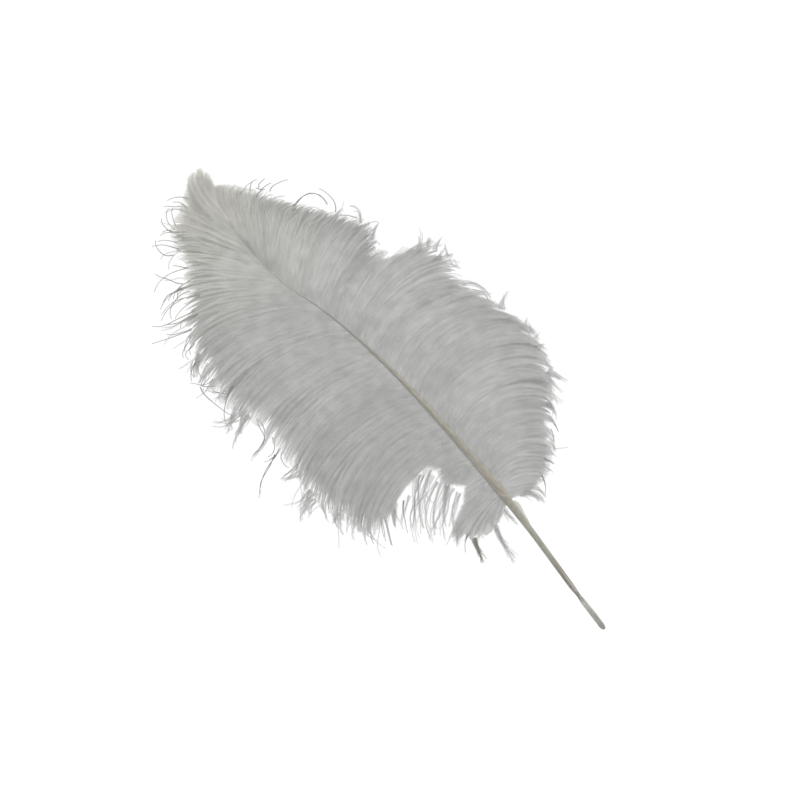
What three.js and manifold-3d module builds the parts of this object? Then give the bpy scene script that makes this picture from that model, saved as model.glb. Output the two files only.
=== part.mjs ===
// A white ostrich wing plume that lies on a table: a quill shaft with a vane of soft
// barbs on each side. Millimetres, +Z up. The origin is on the table under the middle of
// the plume's outline, +X runs from the quill to the tip and +Y to the left vane.
import * as THREE from 'three';
import { mergeVertices } from 'three/addons/utils/BufferGeometryUtils.js';
import Module from 'manifold-3d';

const wasm = await Module();
wasm.setup();

// The rows below are measured from a point on the quill, 13.5 mm inside its butt.
const middleX = 261.7; // of the outline, from that point
const middleY = 1.5;

// Shaft: bare quill, then the rachis between the vanes, thinning to a hair.
// Each row is x, y, height of the centre, width, depth.
const shaftRows = [
  [-13.5, 1.1, 1.7, 2.6, 2.4],
  [-11.0, 1.0, 1.8, 4.7, 4.2],
  [-5.0, 0.5, 2.0, 5.2, 4.6],
  [12.0, -0.6, 1.8, 5.1, 4.2],
  [18.0, -1.0, 1.6, 4.9, 3.6],
  [24.0, -1.5, 1.6, 3.6, 3.2], // the pinched, dried-out place
  [32.0, -2.1, 1.9, 4.7, 4.4],
  [50.0, -3.8, 2.2, 5.2, 5.0],
  [75.0, -6.2, 2.9, 5.5, 5.2],
  [97.0, -8.3, 4.1, 6.2, 5.6],
  [115.0, -9.8, 5.2, 7.4, 6.2],
  [135.0, -11.0, 6.5, 7.8, 6.4],
  [160.0, -12.1, 8.0, 7.7, 6.2],
  [200.0, -12.6, 10.4, 6.2, 5.4],
  [250.0, -12.0, 12.3, 4.6, 4.4],
  [300.0, -9.4, 12.9, 3.1, 3.4],
  [350.0, -4.0, 12.3, 1.9, 2.4],
  [375.0, 1.0, 11.5, 1.6, 2.0],
  [400.0, 8.0, 10.4, 1.3, 1.7],
  [420.0, 11.4, 9.4, 1.2, 1.5],
  [437.0, 12.8, 8.4, 1.1, 1.3],
  [455.0, 12.2, 7.4, 1.0, 1.1],
  [476.0, 11.0, 6.2, 0.7, 0.8],
];
const shaftSides = 8;
const plumeTip = [538, 5]; // where the two vanes end, side by side

// Locks of barbs, from the quill's end of each vane to the plume's tip. Each row is where
// the lock leaves the shaft (x), where its tip lies (x, y), its bearings at the root and
// at the tip in degrees from +X, and how far along it parts from the next lock.
const leftLocks = [
  [124, 108, -4, 120, 175, 0.35],
  [129, 88, 19, 100, 178, 0.3],
  [134, 103, 43, 82, 158, 0.35],
  [143, 133, 54, 70, 118, 0.6],
  [153, 142, 63, 60, 128, 0.2],
  [167, 157, 77, 55, 138, 0.2],
  [179, 174, 90, 56, 138, 0.25],
  [189, 183, 107, 60, 135, 0.7],
  [213, 213, 122, 60, 125, 0.8],
  [227, 236, 140, 60, 122, 0.75],
  [255, 268, 124, 62, 112, 0.85],
  [269, 281, 140, 62, 112, 0.75],
  [297, 311, 136, 60, 110, 0.75],
  [325, 350, 139, 56, 106, 0.75],
  [353, 384, 128, 53, 104, 0.8],
  [379, 420, 118, 52, 108, 0.8],
  [403, 458, 106, 48, 96, 0.7],
  [425, 484, 84, 44, 90, 0.7],
  [447, 514, 60, 38, 70, 0.75],
  [462, 530, 35, 28, 36, 0.8],
  [473, 537, 14, 12, -8, 0.8],
];
const rightLocks = [
  [127, 107, -32, -100, -172, 0.4],
  [134, 109, -43, -80, -162, 0.45],
  [144, 120, -58, -62, -160, 0.6],
  [158, 140, -78, -56, -160, 0.7],
  [175, 160, -98, -56, -160, 0.75],
  [199, 182, -124, -58, -148, 0.8],
  [227, 228, -131, -60, -130, 0.8],
  [241, 247, -123, -60, -124, 0.8],
  [255, 268, -137, -60, -110, 0.7],
  [282, 296, -112, -57, -125, 0.85],
  [308, 328, -118, -55, -105, 0.8],
  [332, 358, -110, -52, -92, 0.75],
  [344, 366, -80, -52, -100, 0.8],
  [356, 380, -71, -50, -100, 0.8],
  [370, 397, -84, -48, -98, 0.75],
  [392, 424, -70, -44, -112, 0.75],
  [416, 452, -50, -40, -115, 0.8],
  [438, 482, -32, -36, -100, 0.75],
  [457, 508, -15, -28, -64, 0.75],
  [472, 531, -3, -14, -20, 0.8],
];
const locksPerRow = 2; // one lock on each row and one halfway to the next
const lockSteps = 10; // along each lock
const lockDepth = 3.4; // through the vane at the shaft
const tipDepth = 1.2; // and at the tips
const lockRise = 0.1; // how far a lock arches up, as a share of its length
const valleyDrop = 1.5; // of the line between two locks, below their ridges
const tipHeights = [-3, 3, 0.4, 5]; // of the tips, taken in turn; one below 0 lies flat on the table
const tipReaches = [1, 0.93, 1, 0.96]; // some locks are shorter, in the same turn
const partingTurns = [0, 0.1, -0.1]; // and some part sooner or later than their row says
const tipShare = 0.1; // of a lock's width that is left at its tip

const gap = 0.35; // left between the shaft and a vane, and between the vanes
const tableBlock = 700; // of the block that cuts the quill flat where it rests

const degrees = Math.PI / 180;
const { lerp } = THREE.MathUtils;
const inTurn = (values, turn) => values[turn % values.length];

// The shaft's middle and size at x, by straight lines between its rows.
function shaftAt(x) {
  const next = Math.max(1, shaftRows.findIndex((row) => row[0] >= x));
  const [before, after] = [shaftRows[next - 1], shaftRows[next]];
  const share = (x - before[0]) / (after[0] - before[0]);
  const [, y, z, width] = before.map((value, k) => lerp(value, after[k], share));
  return { y, z, width };
}

// A straight many-sided bar whose rings are moved onto the shaft's rows.
function shaftGeometry() {
  const last = shaftRows.length - 1;
  const bar = new THREE.CylinderGeometry(1, 1, 1, shaftSides, last);
  bar.deleteAttribute('normal');
  bar.deleteAttribute('uv');
  const shaft = mergeVertices(bar);
  const position = shaft.getAttribute('position');
  const centres = shaftRows.map(([x, y, z]) => new THREE.Vector3(x, y, z));
  for (let i = 0; i < position.count; i += 1) {
    const row = Math.round((position.getY(i) + 0.5) * last);
    const along = centres[Math.min(last, row + 1)].clone().sub(centres[Math.max(0, row - 1)]).normalize();
    const side = new THREE.Vector3(along.y, -along.x, 0).normalize();
    const up = new THREE.Vector3().crossVectors(side, along);
    const [, , , width, depth] = shaftRows[row];
    const point = centres[row]
      .clone()
      .addScaledVector(side, (position.getX(i) * width) / 2)
      .addScaledVector(up, (position.getZ(i) * depth) / 2);
    position.setXYZ(i, point.x, point.y, point.z);
  }
  return shaft;
}

function toSolid(geometry) {
  return new wasm.Manifold(
    new wasm.Mesh({
      numProp: 3,
      vertProperties: new Float32Array(geometry.getAttribute('position').array),
      triVerts: new Uint32Array(geometry.index.array),
    }),
  );
}

// The quill lies on the table along a narrow flat.
function restingShaft() {
  const table = new THREE.BoxGeometry(tableBlock, tableBlock, tableBlock);
  table.translate(0, 0, -tableBlock / 2);
  table.deleteAttribute('normal');
  table.deleteAttribute('uv');
  const resting = toSolid(shaftGeometry()).subtract(toSolid(mergeVertices(table)));
  const { vertProperties, triVerts } = resting.getMesh();
  const geometry = new THREE.BufferGeometry();
  geometry.setAttribute('position', new THREE.BufferAttribute(vertProperties, 3));
  geometry.setIndex(new THREE.BufferAttribute(triVerts, 1));
  return geometry;
}

// The line of barbs along a lock's ridge. In plan it turns like an arc of a circle; it
// arches up from the shaft and comes down to its tip.
function ridgeLine([rootX, tipX, tipY, rootBearing, tipBearing], reach, tipHeight, outward) {
  const shaft = shaftAt(rootX);
  const root = new THREE.Vector3(rootX, shaft.y + outward * (shaft.width / 2 + gap), shaft.z);
  const tip = root.clone().lerp(new THREE.Vector3(tipX, tipY, 0), reach).setZ(tipHeight);
  const chord = root.distanceTo(tip);
  const bend = Math.abs(tipBearing - rootBearing) * degrees;
  const handle = (chord * (4 / 3) * Math.tan(bend / 4)) / (2 * Math.sin(bend / 2));
  const towards = (bearing) =>
    new THREE.Vector3(Math.cos(bearing * degrees), Math.sin(bearing * degrees), 0);
  return new THREE.CubicBezierCurve3(
    root,
    root.clone().addScaledVector(towards(rootBearing), handle).setZ(shaft.z + lockRise * chord),
    tip.clone().addScaledVector(towards(tipBearing), -handle).setZ(lockRise * chord * 0.5),
    tip,
  );
}

// The edge of the vane past the end of the shaft, where it meets the other vane.
function partingLine(outward) {
  const end = shaftRows.at(-1);
  const start = new THREE.Vector3(end[0] + 2, end[1] + outward * (end[3] / 2 + gap), end[2]);
  return new THREE.LineCurve3(start, new THREE.Vector3(plumeTip[0], plumeTip[1] + (outward * gap) / 2, 0));
}

// One vane as a sheet of locks: a ridge along each lock, a valley between two of them as
// far as they hang together, and free pointed tips past that.
function vaneGeometry(rows, outward) {
  const count = (rows.length - 1) * locksPerRow + 1;
  const locks = Array.from({ length: count }, (_, turn) => {
    const row = Math.floor(turn / locksPerRow);
    const next = rows[Math.min(row + 1, rows.length - 1)];
    const values = rows[row].map((value, k) => lerp(value, next[k], turn / locksPerRow - row));
    return {
      ridge: ridgeLine(values, inTurn(tipReaches, turn), inTurn(tipHeights, turn), outward),
      parting: values[5] + inTurn(partingTurns, turn),
    };
  });

  const corners = [];
  const faces = [];
  // A point of the sheet is two corners, one on its upper face and one on its lower.
  const addPoint = (point, t) => {
    const depth = lerp(lockDepth, tipDepth, t);
    const low = Math.max(0, point.z - depth / 2);
    corners.push(point.x, point.y, low + depth, point.x, point.y, low);
    return corners.length / 3 - 2;
  };
  const addFace = (...ring) => {
    const turned = outward > 0 ? ring : ring.reverse();
    faces.push(turned[0], turned[1], turned[2], turned[0], turned[2], turned[3]);
  };
  const addWall = (from, to) => addFace(from + 1, to + 1, to, from);

  const times = Array.from({ length: lockSteps + 1 }, (_, step) => step / lockSteps);
  const ridges = locks.map(({ ridge }) => times.map((t) => addPoint(ridge.getPoint(t), t)));
  // Edge 0 is the quill's side of the first lock, and the last edge is the parting line.
  const edges = Array.from({ length: count + 1 }, (_, edge) => {
    const [before, after] = [locks[edge - 1], locks[edge]];
    const joined = before && after ? Math.round(before.parting * lockSteps) : 0;
    const line = partingLine(outward);
    const pairs = times.map((t, step) => {
      const near = (before ?? after).ridge.getPoint(t);
      const far = before && after ? after.ridge.getPoint(t) : null;
      const valley = far ? near.clone().lerp(far, 0.5) : before ? line.getPoint(t) : mirrored(locks, t);
      valley.z = (far ? (near.z + far.z) / 2 : near.z) - valleyDrop * Math.sin(Math.PI * t);
      if (far && step <= joined) {
        const shared = addPoint(valley, t);
        return [shared, shared];
      }
      const width = lerp(tipShare, 1, ((lockSteps - step) / (lockSteps - joined)) ** 0.7);
      return [near, far].map((ridge) => (ridge ? addPoint(ridge.lerp(valley, width), t) : null));
    });
    return { joined, pairs };
  });

  locks.forEach((_, lock) => {
    const ridge = ridges[lock];
    const left = edges[lock].pairs.map((pair) => pair[lock === 0 ? 0 : 1]);
    const right = edges[lock + 1].pairs.map((pair) => pair[0]);
    for (let step = 0; step < lockSteps; step += 1) {
      for (const [a, b] of [[left, ridge], [ridge, right]]) {
        addFace(b[step], b[step + 1], a[step + 1], a[step]);
        addFace(a[step] + 1, a[step + 1] + 1, b[step + 1] + 1, b[step] + 1);
      }
      if (lock === 0 || step >= edges[lock].joined) addWall(left[step + 1], left[step]);
      if (lock === count - 1 || step >= edges[lock + 1].joined) addWall(right[step], right[step + 1]);
    }
    addWall(left[0], ridge[0]);
    addWall(ridge[0], right[0]);
    addWall(ridge[lockSteps], left[lockSteps]);
    addWall(right[lockSteps], ridge[lockSteps]);
  });

  const geometry = new THREE.BufferGeometry();
  geometry.setAttribute('position', new THREE.Float32BufferAttribute(corners, 3));
  geometry.setIndex(faces);
  return geometry;
}

// The first lock is as wide on the quill's side as on the other.
function mirrored(locks, t) {
  const first = locks[0].ridge.getPoint(t);
  return first.clone().multiplyScalar(1.5).addScaledVector(locks[1].ridge.getPoint(t), -0.5);
}

function piece(name, geometry, material) {
  geometry.computeVertexNormals();
  const mesh = new THREE.Mesh(geometry, material);
  mesh.name = name;
  return mesh;
}

const horn = new THREE.MeshStandardMaterial({ color: 0xb9b5a6, roughness: 0.45, metalness: 0 });
const barbs = new THREE.MeshStandardMaterial({ color: 0xd4d5cf, roughness: 0.85, metalness: 0 });

const plume = new THREE.Group();
plume.add(
  piece('shaft', restingShaft(), horn),
  piece('vane_left', vaneGeometry(leftLocks, 1), barbs),
  piece('vane_right', vaneGeometry(rightLocks, -1), barbs),
);
plume.position.set(-middleX, -middleY, 0);

export default plume;
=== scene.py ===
import math

import bpy
import numpy as np
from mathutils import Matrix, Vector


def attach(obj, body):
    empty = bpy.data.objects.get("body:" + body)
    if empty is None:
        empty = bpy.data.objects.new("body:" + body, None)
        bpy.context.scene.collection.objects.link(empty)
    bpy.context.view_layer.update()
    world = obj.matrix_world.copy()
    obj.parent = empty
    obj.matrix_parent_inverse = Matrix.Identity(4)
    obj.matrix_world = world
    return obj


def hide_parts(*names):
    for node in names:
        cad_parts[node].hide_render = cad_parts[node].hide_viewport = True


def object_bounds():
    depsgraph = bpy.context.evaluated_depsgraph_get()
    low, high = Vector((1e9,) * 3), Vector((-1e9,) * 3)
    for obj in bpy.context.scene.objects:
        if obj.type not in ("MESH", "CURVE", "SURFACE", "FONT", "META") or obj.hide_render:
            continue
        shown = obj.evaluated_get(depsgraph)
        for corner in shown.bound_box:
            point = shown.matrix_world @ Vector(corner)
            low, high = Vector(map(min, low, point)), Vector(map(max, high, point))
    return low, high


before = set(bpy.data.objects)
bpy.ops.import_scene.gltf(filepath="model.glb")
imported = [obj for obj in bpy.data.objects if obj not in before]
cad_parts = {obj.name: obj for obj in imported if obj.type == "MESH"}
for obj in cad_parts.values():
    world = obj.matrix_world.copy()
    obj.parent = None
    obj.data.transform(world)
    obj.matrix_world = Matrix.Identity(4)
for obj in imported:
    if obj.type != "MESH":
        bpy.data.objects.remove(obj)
cadBox = [list(corner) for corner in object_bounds()]
print("plume: frame loaded")

mm = 0.001

# Where things lie on the plume, in mm from a point on the quill 13.5 mm inside its butt:
# x runs to the tip, y to the left vane and z up from the table.
plume = {
    "middle": (261.7, 1.5),
    "shaft": [  # x, y, height, width, depth
        (-13.5, 1.1, 1.7, 2.6, 2.4),
        (-11, 1.0, 1.8, 4.7, 4.2),
        (-5, 0.5, 2.0, 5.2, 4.6),
        (12, -0.6, 1.8, 5.1, 4.2),
        (18, -1.0, 1.6, 4.9, 3.6),
        (24, -1.5, 1.6, 3.6, 3.2),
        (32, -2.1, 1.9, 4.7, 4.4),
        (50, -3.8, 2.2, 5.2, 5.0),
        (75, -6.2, 2.9, 5.5, 5.2),
        (97, -8.2, 4.1, 5.8, 5.4),
        (115, -9.3, 5.2, 6.2, 5.8),
        (135, -11.0, 6.5, 7.8, 6.4),
        (160, -12.1, 8.0, 7.7, 6.2),
        (200, -12.6, 10.4, 6.2, 5.4),
        (250, -12.0, 12.3, 4.6, 4.4),
        (300, -9.4, 12.9, 3.1, 3.4),
        (350, -3.5, 12.3, 1.7, 2.2),
        (375, 1.4, 11.5, 1.3, 1.7),
        (400, 8.3, 10.4, 1.0, 1.4),
        (420, 11.6, 9.4, 0.8, 1.1),
        (437, 12.9, 8.4, 0.7, 0.9),
        (455, 12.2, 7.4, 0.6, 0.8),
        (476, 11.0, 6.2, 0.4, 0.5),
    ],
}
shaftRows = np.array(plume["shaft"])


def smoothly(x, knots, values):
    # a cubic through the knots
    slopes = np.gradient(values, knots)
    i = np.clip(np.searchsorted(knots, x) - 1, 0, len(knots) - 2)
    step = knots[i + 1] - knots[i]
    t = np.clip((x - knots[i]) / step, 0, 1)
    start = (1 + 2 * t) * (1 - t) ** 2 * values[i] + t * (1 - t) ** 2 * step * slopes[i]
    end = t * t * (3 - 2 * t) * values[i + 1] + t * t * (t - 1) * step * slopes[i + 1]
    return start + end


def shaftAt(x, what):
    column = {"y": 1, "z": 2, "width": 3, "depth": 4}[what]
    return smoothly(np.asarray(x, float), shaftRows[:, 0], shaftRows[:, column])


def ease(t, start, end):
    s = np.clip((t - start) / (end - start), 0, 1)
    return s * s * (3 - 2 * s)


def inMetres(points):
    return (points - np.array([*plume["middle"], 0])) * mm


def meshFrom(name, points, triangles, uv=None, smooth=False):
    mesh = bpy.data.meshes.new(name)
    mesh.vertices.add(len(points))
    mesh.vertices.foreach_set("co", inMetres(points).astype(np.float32).ravel())
    mesh.loops.add(triangles.size)
    mesh.loops.foreach_set("vertex_index", triangles.astype(np.int32).ravel())
    mesh.polygons.add(len(triangles))
    mesh.polygons.foreach_set("loop_start", np.arange(0, triangles.size, 3, dtype=np.int32))
    mesh.polygons.foreach_set("use_smooth", np.full(len(triangles), smooth))
    mesh.update(calc_edges=True)
    if uv is not None:
        layer = mesh.uv_layers.new(name="OFBake")
        layer.data.foreach_set("uv", uv[triangles].astype(np.float32).ravel())
    piece = bpy.data.objects.new(name, mesh)
    bpy.context.scene.collection.objects.link(piece)
    return piece


def addAttribute(piece, name, kind, field, values):
    layer = piece.data.attributes.new(name, kind, "POINT")
    layer.data.foreach_set(field, np.asarray(values, np.float32).ravel())


# Camera, table and light

studio = {
    "cameraHeight": 2.0,
    "lens": 100,  # on a 36 mm sensor, so 0.72 m of the table is in view
    "turn": -131.63,  # degrees; the plume lies across the view, tip up to the left
    "aim": (0.0008, 0.0003),
    "worldLight": 0.75,
    "keyPower": 12,
    "keySize": 1.2,
    "keyPlace": (0.25, -1.1, 1.5),
    "tableGlow": 1.03,  # lit from below, so nothing casts a shadow on it
}


def makeStudio():
    lens = bpy.data.cameras.new("camera")
    lens.lens = studio["lens"]
    lens.sensor_width = 36
    camera = bpy.data.objects.new("camera", lens)
    camera.location = (*studio["aim"], studio["cameraHeight"])
    camera.rotation_euler = (0, 0, math.radians(studio["turn"]))
    bpy.context.scene.collection.objects.link(camera)
    bpy.context.scene.camera = camera
    bpy.context.scene.view_settings.view_transform = "Standard"

    world = bpy.data.worlds.new("studio")
    world.use_nodes = True
    world.node_tree.nodes["Background"].inputs["Color"].default_value = (1, 1, 1, 1)
    world.node_tree.nodes["Background"].inputs["Strength"].default_value = studio["worldLight"]
    bpy.context.scene.world = world

    key = bpy.data.lights.new("key", "AREA")
    key.energy = studio["keyPower"]
    key.size = studio["keySize"]
    keyLight = bpy.data.objects.new("key", key)
    keyLight.location = studio["keyPlace"]
    keyLight.rotation_euler = (-keyLight.location).to_track_quat("-Z", "Y").to_euler()
    bpy.context.scene.collection.objects.link(keyLight)

    bpy.ops.mesh.primitive_plane_add(size=8, location=(0, 0, -0.0002))
    table = bpy.context.object
    table.name = "table"
    material = bpy.data.materials.new("table")
    material.use_nodes = True
    paper = material.node_tree.nodes["Principled BSDF"]
    paper.inputs["Base Color"].default_value = (0, 0, 0, 1)
    paper.inputs["Specular IOR Level"].default_value = 0
    paper.inputs["Emission Color"].default_value = (1, 1, 1, 1)
    paper.inputs["Emission Strength"].default_value = studio["tableGlow"]
    table.data.materials.append(material)


makeStudio()
print("plume: studio set")


# Materials

keratin = {
    "along": [  # share of the plume's length, colour
        (0.00, (0.3, 0.305, 0.29)),
        (0.03, (0.38, 0.385, 0.36)),
        (0.055, (0.46, 0.455, 0.43)),
        (0.067, (0.22, 0.215, 0.19)),
        (0.08, (0.285, 0.27, 0.245)),
        (0.1, (0.235, 0.225, 0.195)),
        (0.125, (0.265, 0.255, 0.22)),
        (0.15, (0.35, 0.355, 0.31)),
        (0.2, (0.355, 0.355, 0.31)),
        (0.26, (0.36, 0.345, 0.3)),
        (0.32, (0.37, 0.35, 0.31)),
        (0.4, (0.36, 0.355, 0.31)),
        (0.47, (0.37, 0.36, 0.31)),
        (0.56, (0.34, 0.33, 0.295)),
        (0.66, (0.335, 0.33, 0.3)),
        (0.75, (0.4, 0.4, 0.37)),
        (0.83, (0.52, 0.52, 0.49)),
    ],
    "across": [  # painted light, from the right vane's side to the left vane's: a painted highlight on the right vane's edge, and the left vane's edge painted paler to lift its shade
        (0.0, (1.55, 1.57, 1.64)),
        (0.2, (1.08, 1.07, 1.06)),
        (0.5, (1.04, 1.03, 1.02)),
        (0.8, (0.99, 1.0, 1.01)),
        (1.0, (1.4, 1.43, 1.5)),
    ],
    "pale": (0.62, 0.61, 0.57),
    "roughness": 0.42,
    "grain": (60, 1600, 1600),  # how fine each pattern is along the plume, across it and up
    "blotches": (220, 500, 500),
    "scurf": (700, 1100, 1100),
    "bump": (0.25, 0.0002),  # of the grain: its strength and its height in metres
}
down = {
    "colour": (0.76, 0.761, 0.752),
    "tipColour": (0.758, 0.755, 0.72),
    "through": 0.3,  # share of the light that passes a barb
    "roughness": 0.75,
    "shine": 0.25,
    # painted shade: soft darker and paler patches that stand in for the shade between tufts and over the
    # vane's folds
    "shadePatches": (75, 75, 75),
    "shadePatchTones": (0.96, 1.04),
}


def newMaterial(name):
    material = bpy.data.materials.new(name)
    material.use_nodes = True
    nodes = material.node_tree.nodes
    return material, nodes, material.node_tree.links, nodes["Principled BSDF"]


def placeAlong(nodes, links):
    # 0 at the quill's butt and 1 at the plume's tip
    place = nodes.new("ShaderNodeTexCoord")
    split = nodes.new("ShaderNodeSeparateXYZ")
    share = nodes.new("ShaderNodeMapRange")
    share.inputs["From Min"].default_value = cadBox[0][0]
    share.inputs["From Max"].default_value = cadBox[1][0]
    links.new(place.outputs["Object"], split.inputs[0])
    links.new(split.outputs["X"], share.inputs["Value"])
    return place.outputs["Object"], share.outputs["Result"]


def ramp(nodes, links, factor, stops):
    colours = nodes.new("ShaderNodeValToRGB")
    while len(colours.color_ramp.elements) < len(stops):
        colours.color_ramp.elements.new(0.5)
    for element, (position, colour) in zip(colours.color_ramp.elements, stops):
        element.position = position
        element.color = (*colour, 1)
    links.new(factor, colours.inputs["Fac"])
    return colours.outputs["Color"]


def times(nodes, links, first, second):
    product = nodes.new("ShaderNodeMix")
    product.data_type = "RGBA"
    product.blend_type = "MULTIPLY"
    product.inputs["Factor"].default_value = 1
    links.new(first, product.inputs["A"])
    links.new(second, product.inputs["B"])
    return product.outputs["Result"]


def lighter(nodes, links, colour, factor):
    # towards the pale of dry keratin
    paler = nodes.new("ShaderNodeMix")
    paler.data_type = "RGBA"
    paler.inputs["B"].default_value = (*keratin["pale"], 1)
    links.new(factor, paler.inputs["Factor"])
    links.new(colour, paler.inputs["A"])
    return paler.outputs["Result"]


def noise(nodes, links, place, scale, detail):
    stretched = nodes.new("ShaderNodeMapping")
    stretched.inputs["Scale"].default_value = scale
    texture = nodes.new("ShaderNodeTexNoise")
    texture.inputs["Scale"].default_value = 1
    texture.inputs["Detail"].default_value = detail
    links.new(place, stretched.inputs["Vector"])
    links.new(stretched.outputs["Vector"], texture.inputs["Vector"])
    return texture.outputs["Fac"]


def attribute(nodes, name):
    reader = nodes.new("ShaderNodeAttribute")
    reader.attribute_name = name
    return reader.outputs


def shaftMaterial():
    material, nodes, links, horn = newMaterial("quillKeratin")
    place, along = placeAlong(nodes, links)
    colour = ramp(nodes, links, along, keratin["along"])
    # painted light: a highlight on the quill's right-vane edge and lifted shade on its left-vane edge
    across = attribute(nodes, "across")["Fac"]
    colour = times(nodes, links, colour, ramp(nodes, links, across, keratin["across"]))
    grain = noise(nodes, links, place, keratin["grain"], 4)
    streaks = ramp(nodes, links, grain, [(0.3, (0.78, 0.77, 0.74)), (0.7, (1.06, 1.06, 1.06))])
    blotches = noise(nodes, links, place, keratin["blotches"], 3)
    clouds = ramp(nodes, links, blotches, [(0.35, (0.86, 0.84, 0.8)), (0.65, (1.05, 1.05, 1.05))])
    colour = times(nodes, links, times(nodes, links, colour, streaks), clouds)
    scurf = noise(nodes, links, place, keratin["scurf"], 2)
    flecks = ramp(nodes, links, scurf, [(0.56, (0, 0, 0)), (0.62, (0.8, 0.8, 0.8))])
    dry = ramp(nodes, links, along, [(0.02, (0.1, 0.1, 0.1)), (0.06, (1, 1, 1)), (0.11, (0, 0, 0))])
    colour = lighter(nodes, links, colour, times(nodes, links, flecks, dry))
    colour = lighter(nodes, links, colour, attribute(nodes, "pale")["Fac"])
    bump = nodes.new("ShaderNodeBump")
    bump.inputs["Strength"].default_value = keratin["bump"][0]
    bump.inputs["Distance"].default_value = keratin["bump"][1]
    links.new(grain, bump.inputs["Height"])
    links.new(bump.outputs["Normal"], horn.inputs["Normal"])
    links.new(colour, horn.inputs["Base Color"])
    horn.inputs["Roughness"].default_value = keratin["roughness"]
    return material


def barbMaterial():
    material, nodes, links, fibre = newMaterial("whiteDown")
    place, along = placeAlong(nodes, links)
    colour = ramp(nodes, links, along, [(0.7, down["colour"]), (0.95, down["tipColour"])])
    colour = times(nodes, links, colour, attribute(nodes, "tint")["Color"])
    # painted shade in soft patches over the down
    shadePatches = noise(nodes, links, place, down["shadePatches"], 2)
    dark, pale = down["shadePatchTones"]
    clouds = ramp(nodes, links, shadePatches, [(0.35, (dark, dark, dark)), (0.65, (pale, pale, pale))])
    colour = times(nodes, links, colour, clouds)
    links.new(colour, fibre.inputs["Base Color"])
    fibre.inputs["Roughness"].default_value = down["roughness"]
    fibre.inputs["Specular IOR Level"].default_value = down["shine"]
    through = nodes.new("ShaderNodeBsdfTranslucent")
    links.new(colour, through.inputs["Color"])
    both = nodes.new("ShaderNodeMixShader")
    both.inputs["Fac"].default_value = down["through"]
    links.new(fibre.outputs["BSDF"], both.inputs[1])
    links.new(through.outputs["BSDF"], both.inputs[2])
    links.new(both.outputs["Shader"], nodes["Material Output"].inputs["Surface"])
    return material


quillKeratin = shaftMaterial()
whiteDown = barbMaterial()


# Shaft

shaft = {
    "rings": 640,
    "sides": 36,
    "roundness": 2.3,  # of its section: 2 is an ellipse, more is boxier
    "crease": (27, 66, 0.42, 0.55),  # from x to x, its place across the quill and its depth
    "creaseWidth": 0.2,
    "butt": (14, 24, 0.55, 0.8),  # its flat fades out from x to x; how wide it is and how deep
    "step": (136.5, 4.5, 0.25),  # where the oblique step crosses, its slant and its height
    "stepLength": (1.1, 0.8),  # of its ridge and of the pale line on it
    "pale": (0.75, 0.35, 0.95),  # how pale the crease, the step and the scrap of sheath are
    "flake": [  # a scrap of dry sheath beside the quill: x, y, height, width, depth
        (102, -11.5, 5.2, 0.3, 0.2),
        (106, -12.3, 5.6, 1.2, 0.3),
        (112, -13.0, 6.0, 2.4, 0.35),
        (118, -14.2, 6.2, 3.4, 0.35),
        (123, -14.8, 6.3, 3.8, 0.35),
        (127, -14.2, 6.3, 2.4, 0.3),
    ],
    "flakeRings": 30,
    "flakeSides": 10,
}


def tube(rows, rings, sides, roundness):
    # a closed tapering bar through rows of x, y, height, width and depth
    x = np.linspace(rows[0, 0], rows[-1, 0], rings)
    y, z, width, depth = [smoothly(x, rows[:, 0], rows[:, k]) for k in range(1, 5)]
    middle = np.stack([x, y, z], 1)
    along = np.gradient(middle, axis=0)
    along /= np.linalg.norm(along, axis=1)[:, None]
    side = np.stack([along[:, 1], -along[:, 0], 0 * x], 1)
    side /= np.linalg.norm(side, axis=1)[:, None]
    up = np.cross(side, along)
    angle = np.linspace(0, 2 * math.pi, sides, endpoint=False)
    across = np.sign(np.sin(angle)) * np.abs(np.sin(angle)) ** (2 / roundness)
    high = np.sign(np.cos(angle)) * np.abs(np.cos(angle)) ** (2 / roundness)
    points = middle[:, None] + side[:, None] * across[None, :, None] * width[:, None, None] / 2
    points += up[:, None] * high[None, :, None] * depth[:, None, None] / 2
    ring, spot = np.meshgrid(np.arange(rings - 1), np.arange(sides), indexing="ij")
    a = ring * sides + spot
    b = ring * sides + (spot + 1) % sides
    quads = np.stack([a, a + sides, b + sides, b], -1).reshape(-1, 4)
    last = (rings - 1) * sides
    k = np.arange(1, sides - 1)
    ends = [np.stack([0 * k, k, k + 1], 1), np.stack([0 * k + last, k + 1 + last, k + last], 1)]
    return points, np.concatenate([quads[:, [0, 2, 1]], quads[:, [0, 3, 2]], *ends]), across, high


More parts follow.
